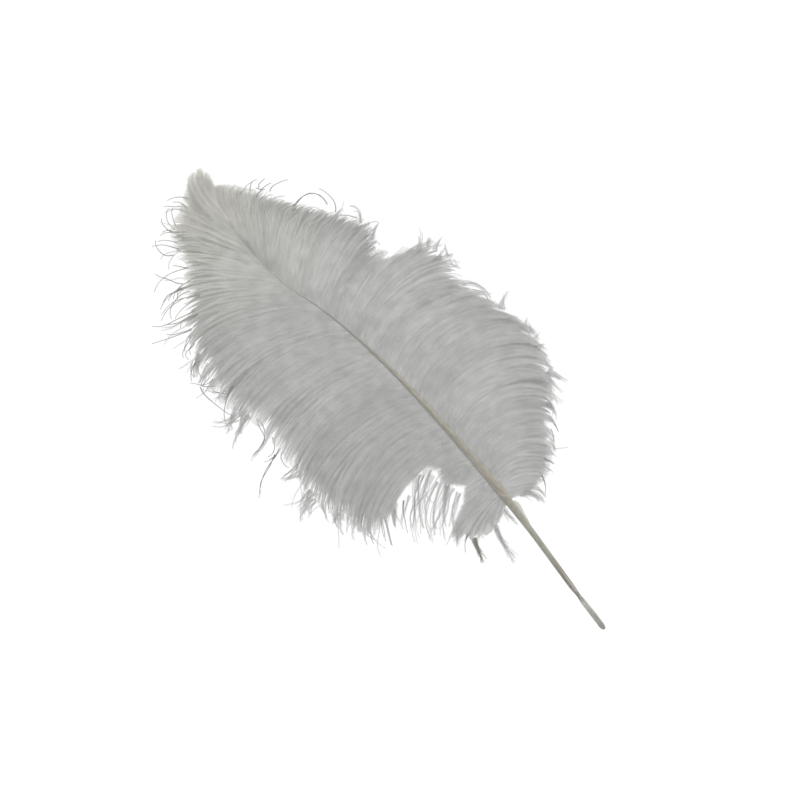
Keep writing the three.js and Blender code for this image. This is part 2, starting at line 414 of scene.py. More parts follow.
def makeShaft():
    points, triangles, across, high = tube(shaftRows, shaft["rings"], shaft["sides"], shaft["roundness"])
    x = points[:, :, 0]
    top = np.clip(high, 0, 1)[None, :]
    start, end, lane, depth = shaft["crease"]
    crease = ease(x, start, start + 3) * (1 - ease(x, start + 12, end))
    crease = crease * np.exp(-(((across[None, :] - lane) / shaft["creaseWidth"]) ** 2)) * top
    points[:, :, 2] -= depth * crease
    start, end, wide, deep = shaft["butt"]
    flat = (1 - ease(x, start, end)) * np.exp(-((across[None, :] / wide) ** 2)) * top
    points[:, :, 2] -= deep * flat
    place, slant, height = shaft["step"]
    past = x - place + slant * across[None, :]
    ridge, line = shaft["stepLength"]
    points[:, :, 2] += height * np.exp(-((past / ridge) ** 2)) * top
    points[:, :, 2] = np.maximum(points[:, :, 2], 0)
    onCrease, onStep, onFlake = shaft["pale"]
    pale = onCrease * crease + onStep * np.exp(-((past / line) ** 2)) * top

    rings, sides = shaft["flakeRings"], shaft["flakeSides"]
    flake, flakeTriangles, _, _ = tube(np.array(shaft["flake"]), rings, sides, 2)
    lane = np.concatenate([np.tile(0.5 - 0.5 * across, shaft["rings"]), np.zeros(rings * sides)])
    pale = np.concatenate([pale.ravel(), np.full(rings * sides, onFlake)])
    points = points.reshape(-1, 3)
    triangles = np.concatenate([triangles, flakeTriangles + len(points)])
    points = np.concatenate([points, flake.reshape(-1, 3)])
    piece = meshFrom("quill_shaft", points, triangles, smooth=True)
    addAttribute(piece, "across", "FLOAT", "value", lane)
    addAttribute(piece, "pale", "FLOAT", "value", pale)
    piece.data.materials.append(quillKeratin)
    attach(piece, "root")
    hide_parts("shaft")


makeShaft()
print("plume: shaft made")


# Barbs

# Each row of a vane is where a barb leaves the shaft (x), where its tip would lie (x, y),
# its bearings at the root and tip in degrees from +X, the share of its length where the
# dense barbs end, the share of the barbs that run on past that, and a tone. The tones that rise above 1
# towards the tip are painted light, lifting the shade where the barbs crowd close.
# Gap shade says how far painted shade darkens the web towards the edge, between the tufts,
# and ragged how uneven the tips are, both at an x along the shaft.
leftVane = {
    "side": 1,
    "fade": (1.0, 1.0),  # tone at a barb's root and at its tip
    "gapShade": [(150, 0.04), (200, 0.14), (300, 0.15), (360, 0.24), (430, 0.24), (455, 0.05)],
    "ragged": [
        (150, 0.4),
        (200, 0.5),
        (250, 0.5),
        (270, 0.3),
        (340, 0.3),
        (360, 0.8),
        (440, 0.7),
        (465, 0.2),
    ],
    "crimped": 0.28,  # how far its front barbs lose their down at the tips, which crimp
    "soft": 0.8,  # share of its whiskers that are downy
    "rows": [
        (129, 112, 2, 116, 172, 0.22, 0.2, 0.99),
        (131, 92, 20, 100, 178, 0.36, 0.2, 0.96),
        (134, 103, 43, 90, 172, 0.6, 0.2, 0.96),
        (141, 129, 55, 76, 146, 0.85, 0.2, 0.97),
        (147, 132, 58, 71, 148, 0.7, 0.1, 0.98),
        (153, 136, 61, 69, 150, 0.38, 0.04, 1),
        (162, 142, 68, 66, 154, 0.22, 0.03, 1),
        (174, 153, 78, 64, 160, 0.33, 0.03, 0.99),
        (186, 163, 92, 66, 166, 0.24, 0.03, 0.99),
        (194, 167, 97, 63, 168, 0.28, 0.03, 0.97),
        (196, 168, 98, 61, 164, 0.75, 0.05, 0.97),
        (202, 174, 105, 60, 162, 0.83, 0.1, 0.97),
        (209, 179, 111, 59, 163, 0.88, 0.1, 0.97),
        (217, 186, 114, 59, 167, 0.88, 0.1, 0.97),
        (226, 195, 117, 58, 172, 0.85, 0.1, 0.98),
        (240, 213, 122, 58, 168, 0.88, 0.1, 0.98),
        (254, 236, 136, 59, 164, 0.78, 0.1, 0.98),
        (276, 259, 126, 60, 164, 0.82, 0.1, 1),
        (291, 277, 138, 59, 156, 0.74, 0.1, 1.01),
        (314, 308, 134, 58, 150, 0.76, 0.05, 1.01),
        (334, 341, 138, 55, 142, 0.82, 0.1, 1),
        (348, 366, 134, 53, 140, 0.88, 0.1, 1),
        (360, 388, 126, 51, 134, 0.89, 0.2, 1),
        (379, 420, 118, 49, 132, 0.91, 0.15, 1.03),
        (402, 457, 105, 44, 118, 0.77, 0.15, 1.06),
        (425, 484, 83, 40, 98, 0.78, 0.1, 1.09),
        (447, 514, 59, 33, 78, 0.94, 0.1, 1.1),
        (459, 526, 38, 27, 42, 0.9, 0.05, 1.11),
        (466, 531.5, 19, 25, -16, 1, 0, 1.13),
        (470.5, 537, 12, 22, -38, 1.01, 0, 1.11),
        (473.5, 538, 5, 12, -46, 1.01, 0, 1.09),
        (476, 536, -4, -6, -42, 1, 0, 1.07),
    ],
    "pieces": [("barbs_left_1", 0), ("barbs_left_2", 240), ("barbs_left_3", 350)],
}
rightVane = {
    "side": -1,
    "fade": (1.03, 0.92),
    "gapShade": [(150, 0.1), (180, 0.18), (230, 0.13), (340, 0.16), (380, 0.33), (435, 0.28), (452, 0.06)],
    "ragged": [(0, 0.5), (250, 0.5), (300, 0.8), (400, 0.9), (440, 0.8), (465, 0.2)],
    "crimped": 0.5,
    "soft": 0.94,
    "rows": [
        (130, 115, -32, -100, -188, 0.5, 0.1, 1),
        (136, 108, -44, -90, -196, 0.6, 0.1, 1),
        (145, 113, -54, -72, -204, 0.77, 0.06, 1.02),
        (158, 128, -67, -62, -208, 0.84, 0.05, 1.01),
        (176, 147, -82, -56, -210, 0.87, 0.05, 1.01),
        (196, 160, -96, -54, -208, 0.89, 0.05, 1),
        (217, 176, -111, -53, -206, 0.895, 0.05, 1.01),
        (238, 197, -123, -53, -200, 0.92, 0.04, 1.01),
        (259, 228, -127, -54, -194, 0.885, 0.03, 1.02),
        (278, 247, -120, -56, -192, 0.895, 0.03, 1.03),
        (296, 264, -127, -57, -180, 0.79, 0.03, 1.03),
        (305, 276, -115, -59, -182, 0.82, 0.03, 1.03),
        (319, 298, -112, -60, -176, 0.9, 0.03, 1.02),
        (328, 324, -116, -59, -144, 1.02, 0.05, 1),
        (336, 351, -111, -57, -112, 1.01, 0.05, 1),
        (342, 359, -94, -54, -110, 0.92, 0.05, 1),
        (347, 367, -80, -53, -110, 0.89, 0.05, 1),
        (356, 380, -71, -50, -104, 1, 0.05, 1),
        (370, 397, -84, -48, -98, 1.01, 0.05, 1.03),
        (392, 424, -70, -46, -116, 0.99, 0.05, 1.035),
        (416, 452, -50, -44, -124, 0.98, 0.05, 1.045),
        (438, 482, -31, -40, -114, 0.99, 0.05, 1.055),
        (457, 504, -15, -30, -70, 1.02, 0.02, 1.08),
        (464, 513, -6, -22, -50, 1, 0, 1.14),
        (470, 516, -1, -8, -46, 1, 0, 1.14),
        (473, 529, -4, 6, -42, 1, 0, 1.12),
        (476, 537, -2, 12, -42, 1, 0, 1.1),
    ],
    "pieces": [("barbs_right_1", 0), ("barbs_right_2", 235), ("barbs_right_3", 345)],
}
barb = {
    "spacing": (1.2, 0.36),  # along the shaft, before and at the tip, in mm
    "closer": (425, 470),  # x from which and to which they draw closer
    "jitter": 0.4,  # of the spacing
    "stations": 20,  # points along each barb
    "rise": 0.1,  # how far a barb arches up, as a share of its length
    "thick": (0.38, 0.13),  # at the root and the tip
    # painted shade in part: the stems are painted darker to damp the highlights their tops catch, and for
    # the faint darker lines they show
    "stemTone": 0.86,
    "dash": (13, 24),  # mm from one dark stretch of a barb to the next
    "dashTone": (0.02, 0.06),
    "tuftWidth": (4, 13),  # of the bunches that barbs cling in
    "tuftsNarrow": (400, 470, 0.6),  # from x to x, and by how much
    "cling": (0.35, 0.9),
    "clingLess": (425, 455, 0.65),  # from x to x, and by how much
    "clingAtQuill": (150, 190, 0.4),  # the share that is left at the first x
    "longer": (-0.03, 0.04),  # share of its length that a barb is longer, where it is ragged
    "tuftLonger": (-0.02, 0.02),
    "tipHeight": (-1, 6),
    "sway": 1.3,  # sideways, of a tuft
    "wander": 0.6,  # and of each barb
    "crimp": (365, 395, 445, 462),  # x between which the tips crimp, fully between the inner two
    "crimpSize": 2.2,
    "handles": (0.85, 0.7),  # less is a tighter bend near the root and near the tip
    "curl": (4, 2),  # sideways at the tips, of a tuft and of its barbs
    "layers": (-1.2, 1.4),  # heights of the lower and the upper barbs
    # painted shade on the lower barbs and painted light on the upper ones
    "layerShading": (0.955, 1.015),
    "lift": (0.7, 0.35),  # spread of the height, of tufts and of barbs
    "tints": (0.02, 0.01),  # spread of the tone, of tufts and of barbs; the tufts' spread is partly their own tone, partly painted shade for the streaks between tufts
    "tintLimits": (0.95, 1.04),
    "tipFade": (0.035, -0.07, 0.05),  # spread of the tone at the tips, and its limits
    "perMm": 9.5,  # barbules on each mm
    "barbuleLength": 4.0,
    "barbuleLengths": (0.6, 1.15),  # the shortest and longest, as shares of that
    "barbuleWidth": 0.16,
    "barbuleLean": (47, 10),  # degrees from the barb at its root, and how many fewer at its tip
    "barbuleSpread": (8, 24),  # degrees, of the lean and of the roll about the barb
    "barbuleTint": 0.022,
    "least": 0.35,  # mm above the table
}
web = {
    "depth": 2.2,  # mm that the flat under-barbs lie below the others
    "width": 0.85,  # as a share of twice the space between two barbs
    "reach": (0.92, 1.0),  # share of a barb's dense length
    "tilt": (0.25, 0.25),  # mm that one side is up and the other down, and the spread of that
    # painted shade: the web lies below the barbs and is painted darker for it
    "tone": 0.89,
    "tint": 0.045,  # spread of the tone
    "tipHeight": 1.5,
    "narrows": (0.86, 0.85),  # from what share of its length, and by how much at its tip
    "darkens": (0.45, 0.85),  # between which shares of its length the painted shade deepens
    "least": 0.25,
}
whisker = {  # loose barbs, which are soft and downy or dark and nearly bare
    "downy": {"fluff": (2, 3.4), "tone": (0.78, 0.94), "perMm": 10, "thick": (0.34, 0.18)},
    "bare": {"fluff": (1, 1.6), "tone": (0.42, 0.58), "perMm": 12, "thick": (0.75, 0.4)},
    "lean": 36,
    "roll": 20,
    "weave": 9,  # degrees to either side on its way
    "arch": 2.5,
    "turn": (30, 40),  # degrees that it curls, and the spread of that
}

# Loose barbs outside the vanes: where each starts (x, y), its bearing, length, how far it
# turns on its way, in degrees, how many there are in the bunch and its width at the start.
strays = [
    (523, 23, 30, 21, 50, 1, 0),
    (514, 33, -35, 19, 100, 1, 0),
    (518, 30, 25, 22, 45, 1, 0),
    (511, 51, 15, 23, -85, 1, 0),
    (511, 48, 10, 19, -80, 1, 0),
    (512, 55, 40, 16, -100, 1, 0),
    (506, 50, 25, 16, 40, 1, 0),
    (504, 52, 15, 19, 70, 1, 0),
    (498, 57, 15, 21, 55, 1, 0),
    (495, 60, 25, 26, 35, 1, 0),
    (495, 67, 60, 25, -110, 1, 0),
    (478, 64, 60, 15, -40, 1, 0),
    (471, 58, 40, 49, 80, 1, 0),
    (470, 78, 40, 27, -25, 1, 0),
    (465, 67, 55, 29, 75, 2, 2),
    (460, 67, 55, 38, 45, 2, 1),
    (465, 77, 55, 34, 60, 2, 1),
    (461, 78, 55, 34, 110, 1, 0),
    (460, 86, 75, 30, 40, 1, 0),
    (445, 85, 90, 43, -45, 1, 0),
    (442, 88, 65, 20, 50, 1, 0),
    (435, 99, 80, 24, -40, 1, 0),
    (434, 100, 70, 38, -5, 1, 0),
    (431, 101, 90, 24, 55, 2, 1),
    (424, 106, 90, 19, 80, 2, 1),
    (412, 108, 110, 22, 30, 9, 8),
    (398, 108, 95, 20, 25, 8, 7),
    (500, 50, 30, 12, 30, 6, 7),
    (412, 110, 105, 23, 40, 2, 2),
    (409, 107, 95, 22, 80, 1, 0),
    (411, 118, 115, 17, 35, 2, 2),
    (397, 112, 100, 15, 30, 2, 2),
    (381, 116, 50, 25, -20, 1, 0),
    (390, 115, 110, 13, -55, 2, 4),
    (391, 128, 155, 40, 65, 1, 0),
    (385, 107, 70, 21, 45, 5, 8),
    (370, 109, 75, 21, -60, 2, 3),
    (366, 116, 15, 15, 105, 3, 4),
    (352, 110, 90, 27, 20, 12, 12),
    (343, 112, 95, 22, 30, 14, 10),
    (348, 121, 80, 26, -45, 5, 6),
    (345, 130, 85, 9, 35, 3, 4),
    (338, 126, 100, 19, 35, 3, 3),
    (335, 109, 170, 40, -80, 2, 1),
    (319, 110, 120, 30, -30, 3, 2.5),
    (314, 110, 170, 21, -95, 1, 0),
    (302, 111, 115, 20, -45, 2, 1),
    (300, 118, 100, 42, 35, 2, 1.5),
    (298, 112, 125, 17, 85, 1, 0),
    (274, 111, 75, 19, -5, 8, 9),
    (281, 109, 100, 20, -20, 2, 1),
    (253, 114, 109, 24, 0, 8, 8),
    (254, 115, 90, 21, 5, 5, 5),
    (248, 119, 85, 25, 50, 4, 6),
    (244, 117, 90, 19, 40, 4, 8),
    (241, 113, 140, 21, 20, 4, 5),
    (227, 108, 118, 16, 15, 7, 7),
    (226, 111, 120, 17, 60, 3, 5),
    (222, 109, 120, 20, 55, 3, 4),
    (214, 103, 100, 17, 55, 3, 5),
    (209, 103, 110, 19, 45, 3, 4),
    (199, 101, 130, 17, 35, 3, 3),
    (197, 97, 140, 18, 30, 2, 2),
    (195, 84, 140, 22, 10, 2, 2),
    (197, 66, 138, 22, 3, 6, 4),
    (194, 81, 150, 28, 0, 2, 1.5),
    (194, 71, 135, 19, 25, 4, 4),
    (193, 52, 115, 32, 20, 3, 2),
    (193, 59, 135, 30, 25, 2, 1),
    (202, 34, 125, 63, 25, 5, 4.5),
    (199, 31, 120, 50, 15, 2, 2),
    (199, 23, 115, 60, 30, 5, 6),
    (193, 24, 110, 47, 30, 3, 4),
    (185, 25, 105, 57, 50, 3, 2),
    (183, 18, 105, 62, 50, 4, 3),
    (178, 19, 122, 54, 14, 9, 4),
    (172, 18, 115, 50, 25, 4, 5),
    (165, 17, 112, 40, 25, 5, 5),
    (148, 35, 130, 25, -25, 4, 6),
    (140, 37, 105, 18, 45, 4, 5),
    (124.5, 12.2, 160, 41, 18, 12, 4),
    (127, -3, 170, 19, 15, 5, 4),
    (492, -22, -35, 14, -85, 1, 0),
    (489, -30, -45, 11, -65, 1, 0),
    (491, -28, -140, 9, -10, 1, 0),
    (480, -35, -65, 21, -75, 1, 0),
    (455, -39, -65, 43, -125, 2, 1),
    (427, -67, -40, 28, 75, 1, 0),
    (405, -77, -60, 22, 100, 3, 1.5),
    (410, -78, 25, 16, 30, 1, 0),
    (388, -74, -70, 17, 15, 6, 7),
    (351, -98, -65, 22, 30, 4, 3),
    (348, -109, -35, 9, -25, 3, 4),
    (342, -110, -65, 15, -5, 4, 4),
    (333, -103, -78, 14, 10, 9, 9),
    (332, -115, -70, 11, 80, 4, 5),
    (325, -114, -180, 11, 45, 4, 8),
    (304, -109, -125, 32, -68, 4, 3),
    (293, -112, -130, 19, -70, 2, 3),
    (263, -120, -45, 18, -35, 6, 6),
    (237, -124, -70, 10, 20, 3, 5),
    (230, -124, -55, 11, 30, 3, 6),
    (223, -122, -80, 11, -10, 3, 5),
    (216, -119, -95, 11, -20, 3, 5),
    (194, -114, -155, 20, -5, 9, 6),
    (192, -109, -165, 22, -30, 5, 8),
    (186, -101, -160, 23, -35, 5, 8),
    (174, -95, -165, 15, -45, 4, 5),
    (163, -89, 175, 17, -10, 2, 1),
    (153, -81, 175, 12, -35, 2, 3),
    (147, -74, 190, 13, -45, 4, 5),
    (141, -67, -175, 10, 25, 3, 4),
    (138, -60, -155, 11, -10, 2, 1),
    (134, -55, -160, 12, -15, 2, 1),
    (130, -49, 170, 20, -25, 2, 1),
    (128, -22, -118, 26, -62, 7, 5),
    (128, -33, -135, 20, -55, 4, 4),
    (132, -17, -100, 32, -95, 5, 2.5),
]
darkTuft = (126, 34.5, 158, 24, 12, 14, 4.5)  # the same, of the dirty one
dirt = (0.66, 0.64, 0.57)  # what its colour is multiplied by
random = np.random.default_rng(23)


def spread(rows, s):
    # the values of a row at a place between two rows
    i = np.clip(np.floor(s).astype(int), 0, len(rows) - 2)
    part = (s - i)[:, None]
    return rows[i] * (1 - part) + rows[i + 1] * part


def bezierPaths(values, side, tipHeight, t):
    # paths that turn like an arc in plan, arch up from the shaft and come down to their tips
    rootX, tipX, tipY, rootBearing, tipBearing = values[:, :5].T
    halfShaft = shaftAt(rootX, "width") / 2 - 0.15
    rootZ = shaftAt(rootX, "z")
    root = np.stack([rootX, shaftAt(rootX, "y") + side * halfShaft, rootZ], 1)
    tip = np.stack([tipX, tipY, tipHeight], 1)
    chord = np.linalg.norm(tip - root, axis=1)
    bend = np.clip(np.abs(np.radians(tipBearing - rootBearing)), 0.02, 2.4)
    handle = chord * (4 / 3) * np.tan(bend / 4) / (2 * np.sin(bend / 2))
    leaving = np.stack([np.cos(np.radians(rootBearing)), np.sin(np.radians(rootBearing))], 1)
    arriving = np.stack([np.cos(np.radians(tipBearing)), np.sin(np.radians(tipBearing))], 1)
    first = root.copy()
    first[:, :2] += barb["handles"][0] * handle[:, None] * leaving
    first[:, 2] = rootZ + barb["rise"] * chord
    second = tip.copy()
    second[:, :2] -= barb["handles"][1] * handle[:, None] * arriving
    second[:, 2] = barb["rise"] * chord * 0.5
    t = t[:, :, None]
    return (
        (1 - t) ** 3 * root[:, None]
        + 3 * (1 - t) ** 2 * t * first[:, None]
        + 3 * (1 - t) * t * t * second[:, None]
        + t**3 * tip[:, None]
    )


def directions(paths):
    along = np.gradient(paths, axis=1)
    along /= np.linalg.norm(along, axis=2)[:, :, None] + 1e-9
    across = np.stack([along[:, :, 1], -along[:, :, 0], 0 * along[:, :, 0]], 2)
    across /= np.linalg.norm(across, axis=2)[:, :, None] + 1e-9
    return along, across


def grey(tone):
    return np.repeat(np.asarray(tone)[:, None], 3, axis=1)


def faded(fade, share):
    # from the tone at the root to the tone at the tip
    return (fade[..., 0] + (fade[..., 1] - fade[..., 0]) * ease(share, 0.2, 1))[..., None]


def dashed(dashes, share):
    # short paler and darker stretches, stronger on the inner half
    depth, number, offset = dashes[..., 0], dashes[..., 1], dashes[..., 2]
    strength = depth * (1 - 0.6 * ease(share, 0.4, 0.9))
    return (1 + strength * np.sin(2 * math.pi * (number * share + offset)))[..., None]


def layBarbs(vane):
    # all the dense barbs of one side, bunched in tufts, and the flat web under them
    rows = np.array(vane["rows"], float)
    rootX = [rows[0, 0]]
    while rootX[-1] < rows[-1, 0]:
        atTip = ease(rootX[-1], *barb["closer"])
        rootX.append(rootX[-1] + barb["spacing"][0] * (1 - atTip) + barb["spacing"][1] * atTip)
    rootX = np.array(rootX[:-1])
    rootX = rootX + random.uniform(-barb["jitter"], barb["jitter"], len(rootX)) * np.gradient(rootX)
    count = len(rootX)
    layer = np.arange(count) % 2
    place = np.interp(rootX, rows[:, 0], np.arange(len(rows)))

    tuft = np.zeros(count, int)
    tuftX = []
    start, end, narrowing = barb["tuftsNarrow"]
    for level in (0, 1):
        edges = [rows[0, 0] - 1]
        while edges[-1] < rows[-1, 0]:
            narrower = 1 - narrowing * ease(edges[-1], start, end)
            edges.append(edges[-1] + random.uniform(*barb["tuftWidth"]) * narrower)
        mine = layer == level
        tuft[mine] = len(tuftX) + np.searchsorted(edges, rootX[mine]) - 1
        tuftX += [(a + b) / 2 for a, b in zip(edges, edges[1:])]
    tuftX = np.clip(np.array(tuftX), rows[0, 0], rows[-1, 0])
    tufts = len(tuftX)

    values = spread(rows, place)
    leader = spread(rows, np.interp(tuftX, rows[:, 0], np.arange(len(rows))))
    dense, strands, tone = values[:, 5], values[:, 6], values[:, 7]
    ragged = np.interp(rootX, *zip(*vane["ragged"]))
    longer = random.uniform(*barb["longer"], count) + random.uniform(*barb["tuftLonger"], tufts)[tuft]
    reach = dense * (1 + longer * ragged)
    t = np.linspace(0, 1, barb["stations"])[None, :] * reach[:, None]

    tipHeight = random.uniform(*barb["tipHeight"], tufts)
    own = bezierPaths(values, vane["side"], tipHeight[tuft], t)
    led = bezierPaths(leader[tuft], vane["side"], tipHeight[tuft], t)
    start, end, less = barb["clingLess"]
    cling = (random.uniform(*barb["cling"], tufts) * (1 - less * ease(tuftX, start, end)))[tuft][:, None]
    start, end, left = barb["clingAtQuill"]
    cling = cling * (left + (1 - left) * ease(rootX, start, end))[:, None]
    paths = own + (led - own) * (cling * ease(t, 0.35, 1))[:, :, None]

    along, across = directions(paths)
    size = np.minimum(1, np.linalg.norm(own[:, -1] - own[:, 0], axis=1) / 100)[:, None]
    turns = random.uniform(0.5, 1.1, tufts)[tuft][:, None] * t + random.random(tufts)[tuft][:, None]
    sway = random.normal(0, barb["sway"], tufts)[tuft][:, None] * np.sin(2 * math.pi * turns)
    turns = random.uniform(1, 2.4, count)[:, None] * t + random.random(count)[:, None]
    wander = random.normal(0, barb["wander"], count)[:, None] * np.sin(2 * math.pi * turns)
    share = np.linspace(0, 1, barb["stations"])[None, :] + 0 * t
    start, full, less, end = barb["crimp"]
    crimped = vane["crimped"] * (ease(rootX, start, full) - ease(rootX, less, end))[:, None]
    crimped = crimped * ease(share, 0.4, 0.6)
    waves = random.uniform(2.2, 3.4, count)[:, None] * t + random.random(tufts)[tuft][:, None]
    wander = wander + barb["crimpSize"] * crimped * np.sin(2 * math.pi * waves)
    curl = random.normal(0, barb["curl"][0], tufts)[tuft] + random.normal(0, barb["curl"][1], count)
    curl = curl * ragged
    curl = curl[:, None] * ease(t, 0.6, 1.05) ** 2
    paths += across * (size * ease(t, 0, 0.5) * (sway + wander + curl))[:, :, None]
    # painted shade on the lower layer of barbs, painted light on the upper
    tone = tone * np.array(barb["layerShading"])[layer]
    lift = np.array(barb["layers"])[layer] + random.normal(0, barb["lift"][0], tufts)[tuft]
    lift = lift + random.normal(0, barb["lift"][1], count)
    paths[:, :, 2] += ease(t, 0, 0.2) * lift[:, None]
    paths[:, :, 2] = np.maximum(paths[:, :, 2], barb["least"])

    # the barbules are shorter at the shaft, so it shows between the vanes
    atRoot = 0.45 + 0.3 * ease(rootX, 330, 420)[:, None]
    fluff = atRoot + (1 - atRoot) * ease(t, 0, 0.12)
    fluff = barb["barbuleLength"] * fluff * (1 - 0.12 * ease(share, 0.7, 1)) * (1 - crimped)
    # painted shade in part: darker tufts stand in for the streaks of shade between them, beside the down's
    # own uneven tone
    tint = tone * np.clip(random.normal(1, barb["tints"][0], tufts), *barb["tintLimits"])[tuft]
    tint = tint * random.normal(1, barb["tints"][1], count)
    fade = np.tile(vane["fade"], (count, 1))
    change, least, most = barb["tipFade"]
    fade[:, 1] += np.clip(random.normal(0, change, tufts), least, most)[tuft]
    length = np.linalg.norm(own[:, -1] - own[:, 0], axis=1)
    dashes = [random.uniform(*barb["dashTone"], count), length / random.uniform(*barb["dash"], count)]
    barbs = {
        "rootX": rootX,
        "paths": paths,
        "fluff": fluff,
        "density": barb["perMm"] * (1 + 0 * t),
        "lean": barb["barbuleLean"][0] - barb["barbuleLean"][1] * share,
        "roll": random.normal(0, 12, tufts)[tuft] + random.normal(0, 5, count),
        "tint": grey(tint),
        "thick": np.tile(barb["thick"], (count, 1)),
        "fade": fade,
        "dashes": np.stack(dashes + [random.random(count)], 1),
    }
    return barbs, layWeb(vane, values, dense), layWhiskers(barbs, vane, strands, dense)


def layWeb(vane, values, dense):
    # flat strips under the barbs, each wide enough to lap over the next ones
    count = len(values) - 2
    reach = dense[1:-1] * random.uniform(*web["reach"], count)
    share = np.linspace(0, 1, barb["stations"])[None, :]
    t = share * reach[:, None]
    height = np.full(count, web["tipHeight"])
    first = bezierPaths(values[:-2], vane["side"], height, t)
    second = bezierPaths(values[2:], vane["side"], height, t)
    middle = (first + second) / 2
    start, narrowing = web["narrows"]
    narrow = (1 - ease(share, start, 1.0) * narrowing)[:, :, None]
    first = middle + (first - middle) * web["width"] * narrow
    second = middle + (second - middle) * web["width"] * narrow
    tilt = random.normal(*web["tilt"], count)[:, None] * narrow[:, :, 0]
    drop = web["depth"] * ease(t, 0, 0.15) + random.normal(0, 0.15, count)[:, None]
    first[:, :, 2] = np.maximum(first[:, :, 2] - drop + tilt, web["least"])
    second[:, :, 2] = np.maximum(second[:, :, 2] - drop - tilt, web["least"])
    # painted shade: the web, lying under the barbs, is painted darker than they are
    tint = web["tone"] * values[1:-1, 7] * random.normal(1, web["tint"], count)
    gapShade = np.interp(values[1:-1, 0], *zip(*vane["gapShade"]))
    return {"rootX": values[1:-1, 0], "first": first, "second": second, "tint": grey(tint), "gapShade": gapShade}


def trails(start, bearing, length, turn, endHeight, stations=12):
    # paths that set off on a bearing and curl as they go
    count = len(bearing)
    share = np.linspace(0, 1, stations)[None, :]
    wave = random.normal(0, whisker["weave"], count)[:, None] * np.sin(
        2 * math.pi * (random.uniform(0.8, 1.8, count)[:, None] * share + random.random(count)[:, None])
    )
    heading = np.radians(bearing[:, None] + turn[:, None] * share**1.4 + wave)
    step = (length / (stations - 1))[:, None]
    x = np.cumsum(np.cos(heading) * step, axis=1) - np.cos(heading[:, :1]) * step
    y = np.cumsum(np.sin(heading) * step, axis=1) - np.sin(heading[:, :1]) * step
    z = start[:, 2:] + (endHeight[:, None] - start[:, 2:]) * ease(share, 0, 1)
    arch = random.uniform(0, whisker["arch"], count)[:, None] * np.sin(math.pi * share)
    return np.stack([start[:, :1] + x, start[:, 1:2] + y, np.maximum(z + arch, barb["least"])], 2)


def whiskerStrands(paths, soft):
    # the soft ones are pale and downy, the others dark and nearly bare
    downy, bare = whisker["downy"], whisker["bare"]
    count, stations, _ = paths.shape
    share = np.linspace(0, 1, stations)[None, :] + np.zeros((count, 1))
    fluff = np.where(soft, random.uniform(*downy["fluff"], count), random.uniform(*bare["fluff"], count))
    tone = np.where(soft, random.uniform(*downy["tone"], count), random.uniform(*bare["tone"], count))
    return {
        "rootX": paths[:, 0, 0],
        "paths": paths,
        "fluff": fluff[:, None] * (1.15 - 0.45 * share),
        "density": np.where(soft, downy["perMm"], bare["perMm"])[:, None] * (1 - 0.2 * share),
        "lean": whisker["lean"] + 0 * share,
        "roll": random.normal(0, whisker["roll"], count),
        "tint": grey(tone),
        "thick": np.where(soft[:, None], downy["thick"], bare["thick"]),
        "fade": np.ones((count, 2)),
        "dashes": np.zeros((count, 3)),
    }


def layWhiskers(barbs, vane, strands, dense):
    # barbs that run on past the dense edge, thin and curling
    chosen = random.random(len(strands)) < strands
    paths = barbs["paths"][chosen]
    count = len(paths)
    start = paths[:, -4]
    heading = paths[:, -2] - start
    bearing = np.degrees(np.arctan2(heading[:, 1], heading[:, 0]))
    whole = np.linalg.norm(paths[:, -1] - paths[:, 0], axis=1) / dense[chosen]
    length = whole * np.clip(1 - dense[chosen], 0, 1) * random.uniform(0.3, 0.9, count)
    length += whole * dense[chosen] * 0.17 + random.uniform(1, 9, count)
    turn = random.normal(whisker["turn"][0] * vane["side"], whisker["turn"][1], count)
    soft = (random.random(count) < vane["soft"]) | (dense[chosen] < 0.5)
    whiskers = whiskerStrands(trails(start, bearing, length, turn, random.uniform(0.6, 7, count)), soft)
    whiskers["rootX"] = barbs["rootX"][chosen]  # so that each stays in its barb's piece
    return whiskers


def layStrays(rows):
    # the hairs of a bunch draw together, and are downy where there are three or more
    paths, soft = [], []
    for x, y, bearing, length, turn, hairs, width in rows:
        lane = np.linspace(-0.5, 0.5, hairs) if hairs > 1 else np.zeros(1)
        lane = lane + random.normal(0, 0.12, hairs) * (hairs > 1)
        side = math.radians(bearing + 90)
        start = np.stack([x + lane * width * math.cos(side), y + lane * width * math.sin(side)], 1)
        start = np.concatenate([start, random.uniform(1.5, 4, (hairs, 1))], 1)
        reach = length * np.where(np.arange(hairs) == hairs // 2, 1, random.uniform(0.6, 1, hairs))
        inward = np.degrees(lane * width / length) * 0.9
        ends = random.uniform(0.6, 6, hairs)
        turns = turn + random.normal(0, 5 if hairs < 5 else 12, hairs) * (hairs > 1) - inward
        paths.append(trails(start, bearing - inward, reach, turns, ends))
        soft.append(np.full(hairs, hairs > 2))
    return whiskerStrands(np.concatenate(paths), np.concatenate(soft))


